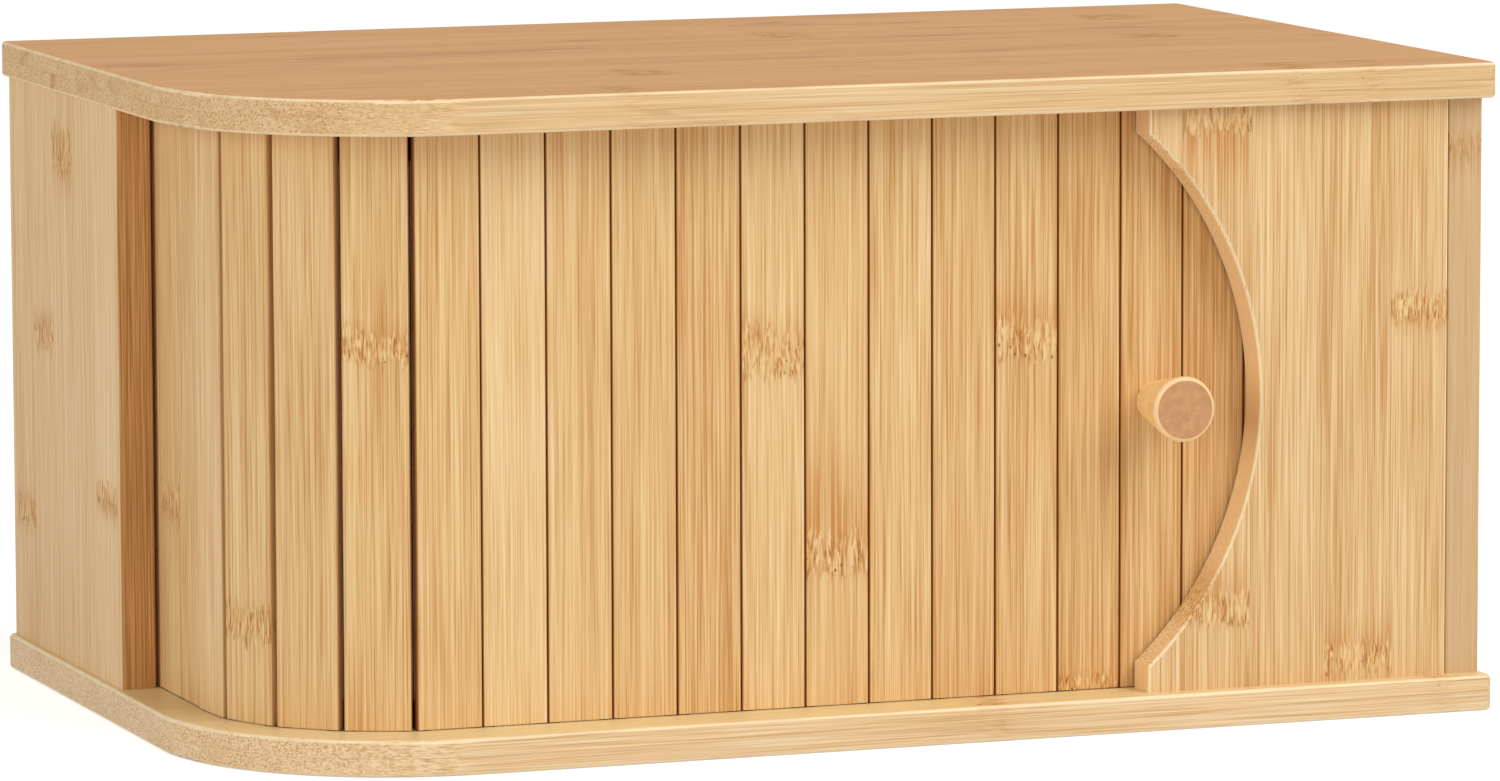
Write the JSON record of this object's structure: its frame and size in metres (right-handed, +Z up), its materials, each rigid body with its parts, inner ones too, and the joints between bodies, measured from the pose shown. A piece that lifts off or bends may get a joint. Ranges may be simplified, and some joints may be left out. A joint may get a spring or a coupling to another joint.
{
  "type": "bread box",
  "caption": "Bamboo bread box with a slatted door that slides left and round the rounded front corner, and a fixed front board with a round bay beside the knob.",
  "frame": {"origin": "middle of the bottom panel's outline, on its underside", "axes": "+X to the right along the front, +Y to the back, +Z up; the door and knob face -Y"},
  "size_m": [0.404, 0.2533, 0.2],
  "materials": {
    "bamboo_board": "satin",
    "bamboo_slat": "satin",
    "knob_wood": "satin",
    "dowel_wood": "matte",
    "canvas": "matte",
    "steel": "satin"
  },
  "bodies": {
    "cabinet": {"top_panel": "bamboo_board", "bottom_panel": "bamboo_board", "left_side_panel": "bamboo_board", "right_side_panel": "bamboo_board", "back_panel": "bamboo_board", "front_board": "bamboo_board", "top_dowels": "dowel_wood", "base_screws": "steel"},
    "door_lead": {"slat_01": "bamboo_slat", "slat_02": "bamboo_slat", "slat_03": "bamboo_slat", "slat_04": "bamboo_slat", "backing_01": "canvas", "knob": "knob_wood", "knob_screw": "steel", "knob_washer": "steel"},
    "door_slats_05": {"slat_05": "bamboo_slat", "backing_02": "canvas"},
    "door_slats_06": {"slat_06": "bamboo_slat", "backing_03": "canvas"},
    "door_slats_07": {"slat_07": "bamboo_slat", "backing_04": "canvas"},
    "door_slats_08": {"slat_08": "bamboo_slat", "backing_05": "canvas"},
    "door_slats_09_to_13": {"slat_09": "bamboo_slat", "slat_10": "bamboo_slat", "slat_11": "bamboo_slat", "slat_12": "bamboo_slat", "slat_13": "bamboo_slat", "backing_06": "canvas"},
    "door_slats_14_to_17": {"slat_14": "bamboo_slat", "slat_15": "bamboo_slat", "slat_16": "bamboo_slat", "slat_17": "bamboo_slat", "backing_07": "canvas", "backing_08": "canvas", "backing_09": "canvas", "backing_10": "canvas"},
    "door_slats_18": {"slat_18": "bamboo_slat", "backing_11": "canvas"},
    "door_slats_19_to_21": {"slat_19": "bamboo_slat", "slat_20": "bamboo_slat", "slat_21": "bamboo_slat", "backing_12": "canvas"}
  },
  "joints": [
    {"name": "door_slide", "type": "slide", "parent": "cabinet", "child": "door_lead", "axis": [-1, 0, 0], "range_m": [0, 0.2043], "deforming": ["slat_05", "backing_02", "slat_06", "backing_03", "slat_07", "backing_04", "slat_08", "backing_05", "slat_09", "slat_10", "slat_11", "slat_12", "slat_13", "backing_06", "slat_14", "slat_15", "slat_16", "slat_17", "backing_07", "backing_08", "backing_09", "backing_10", "slat_18", "backing_11", "slat_19", "slat_20", "slat_21", "backing_12"]},
    {"name": "turn_slats_05", "type": "hinge", "parent": "door_lead", "child": "door_slats_05", "pos_m": [0.06452, -0.10216, 0], "axis": [0, 0, -1], "range_deg": [0, 21.48]},
    {"name": "turn_slats_06", "type": "hinge", "parent": "door_lead", "child": "door_slats_06", "pos_m": [0.05431, -0.10022, 0], "axis": [0, 0, -1], "range_deg": [0, 42.96]},
    {"name": "turn_slats_07", "type": "hinge", "parent": "door_lead", "child": "door_slats_07", "pos_m": [0.0441, -0.09693, 0], "axis": [0, 0, -1], "range_deg": [0, 64.43]},
    {"name": "turn_slats_08", "type": "hinge", "parent": "door_lead", "child": "door_slats_08", "pos_m": [0.03388, -0.09218, 0], "axis": [0, 0, -1], "range_deg": [0, 85.91]},
    {"name": "turn_slats_09_to_13", "type": "hinge", "parent": "cabinet", "child": "door_slats_09_to_13", "pos_m": [-0.07021, 0.01105, 0], "axis": [0, 0, -1], "range_deg": [0, 90]},
    {"name": "turn_slats_14_to_17", "type": "hinge", "parent": "door_slats_19_to_21", "child": "door_slats_14_to_17", "pos_m": [-0.18351, -0.05775, 0], "axis": [0, 0, -1], "range_deg": [0, 19.86]},
    {"name": "turn_slats_18", "type": "hinge", "parent": "door_slats_19_to_21", "child": "door_slats_18", "pos_m": [-0.18404, -0.05024, 0], "axis": [0, 0, -1], "range_deg": [0, 4.09]},
    {"name": "turn_slats_19_to_21", "type": "hinge", "parent": "cabinet", "child": "door_slats_19_to_21", "pos_m": [-0.07021, -0.00785, 0], "axis": [0, 0, -1], "range_deg": [0, 90]}
  ],
  "couplings": [
    {"joint": "turn_slats_05", "follows": "door_slide", "rad_per_m": 1.8349},
    {"joint": "turn_slats_06", "follows": "door_slide", "rad_per_m": 3.6697},
    {"joint": "turn_slats_07", "follows": "door_slide", "rad_per_m": 5.5046},
    {"joint": "turn_slats_08", "follows": "door_slide", "rad_per_m": 7.3394},
    {"joint": "turn_slats_09_to_13", "follows": "door_slide", "rad_per_m": 7.6887},
    {"joint": "turn_slats_14_to_17", "follows": "door_slide", "rad_per_m": 1.6967},
    {"joint": "turn_slats_18", "follows": "door_slide", "rad_per_m": 0.34923},
    {"joint": "turn_slats_19_to_21", "follows": "door_slide", "rad_per_m": 7.6887}
  ]
}
